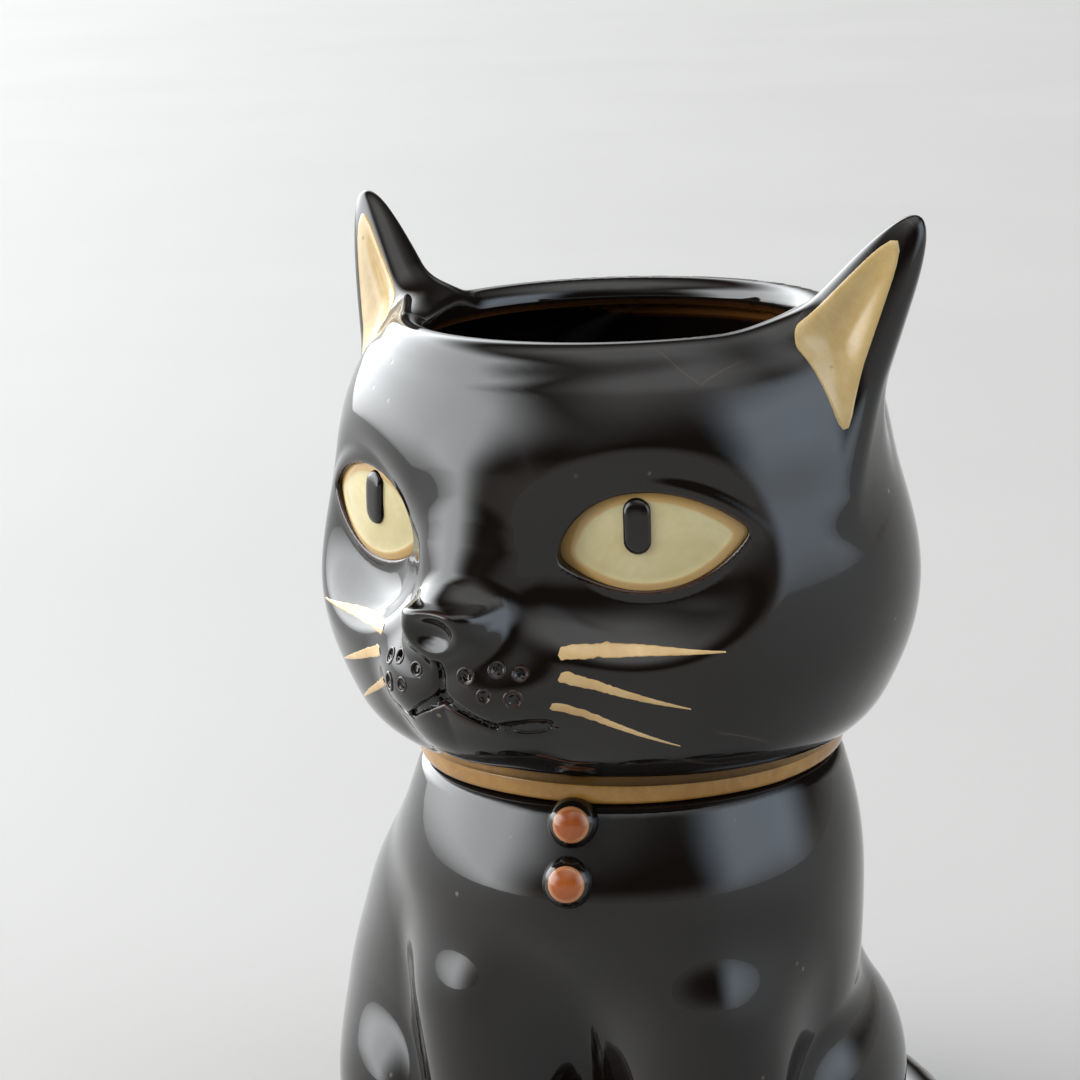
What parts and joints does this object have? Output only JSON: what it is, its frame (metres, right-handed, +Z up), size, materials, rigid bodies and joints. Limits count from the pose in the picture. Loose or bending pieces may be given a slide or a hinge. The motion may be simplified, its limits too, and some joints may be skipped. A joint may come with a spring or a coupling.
{
  "type": "animal shaped planter",
  "caption": "Seated cat planter in dark glazed ceramic: a hollow body under a turned round head, open on top between upright ears, with inlaid eyes and whiskers, a collar band and chest beads.",
  "frame": {"origin": "on the ground, under the centre of the round throat that joins the head to the body", "axes": "+Z up; -Y is the way the chest and the forelegs face, so +X is the cat's left; the head is turned 17 degrees from -Y towards the cat's right"},
  "size_m": [0.1324, 0.1506, 0.2017],
  "materials": {
    "black_glaze": "gloss black glaze that breaks to brown on edges",
    "honey_glaze": "gloss honey glaze",
    "pale_yellow_glaze": "gloss pale yellow glaze",
    "amber_glaze": "gloss amber glaze",
    "rust_glaze": "gloss rust orange glaze",
    "cream_slip": "cream slip under clear glaze"
  },
  "bodies": {
    "root": {"body": "black_glaze", "left_foreleg": "black_glaze", "right_foreleg": "black_glaze", "left_haunch": "black_glaze", "right_haunch": "black_glaze", "left_hind_paw": "black_glaze", "right_hind_paw": "black_glaze", "tail": "black_glaze", "upper_bead": "black_glaze", "lower_bead": "black_glaze", "upper_bead_cap": "rust_glaze", "lower_bead_cap": "rust_glaze", "head": "black_glaze", "nose": "black_glaze", "collar_band": "amber_glaze", "left_eye": "pale_yellow_glaze", "right_eye": "pale_yellow_glaze", "left_pupil": "black_glaze", "right_pupil": "black_glaze", "left_ear": "black_glaze", "right_ear": "black_glaze", "left_ear_lining": "honey_glaze", "right_ear_lining": "honey_glaze", "left_whiskers": "cream_slip", "right_whiskers": "cream_slip"}
  },
  "joints": []
}
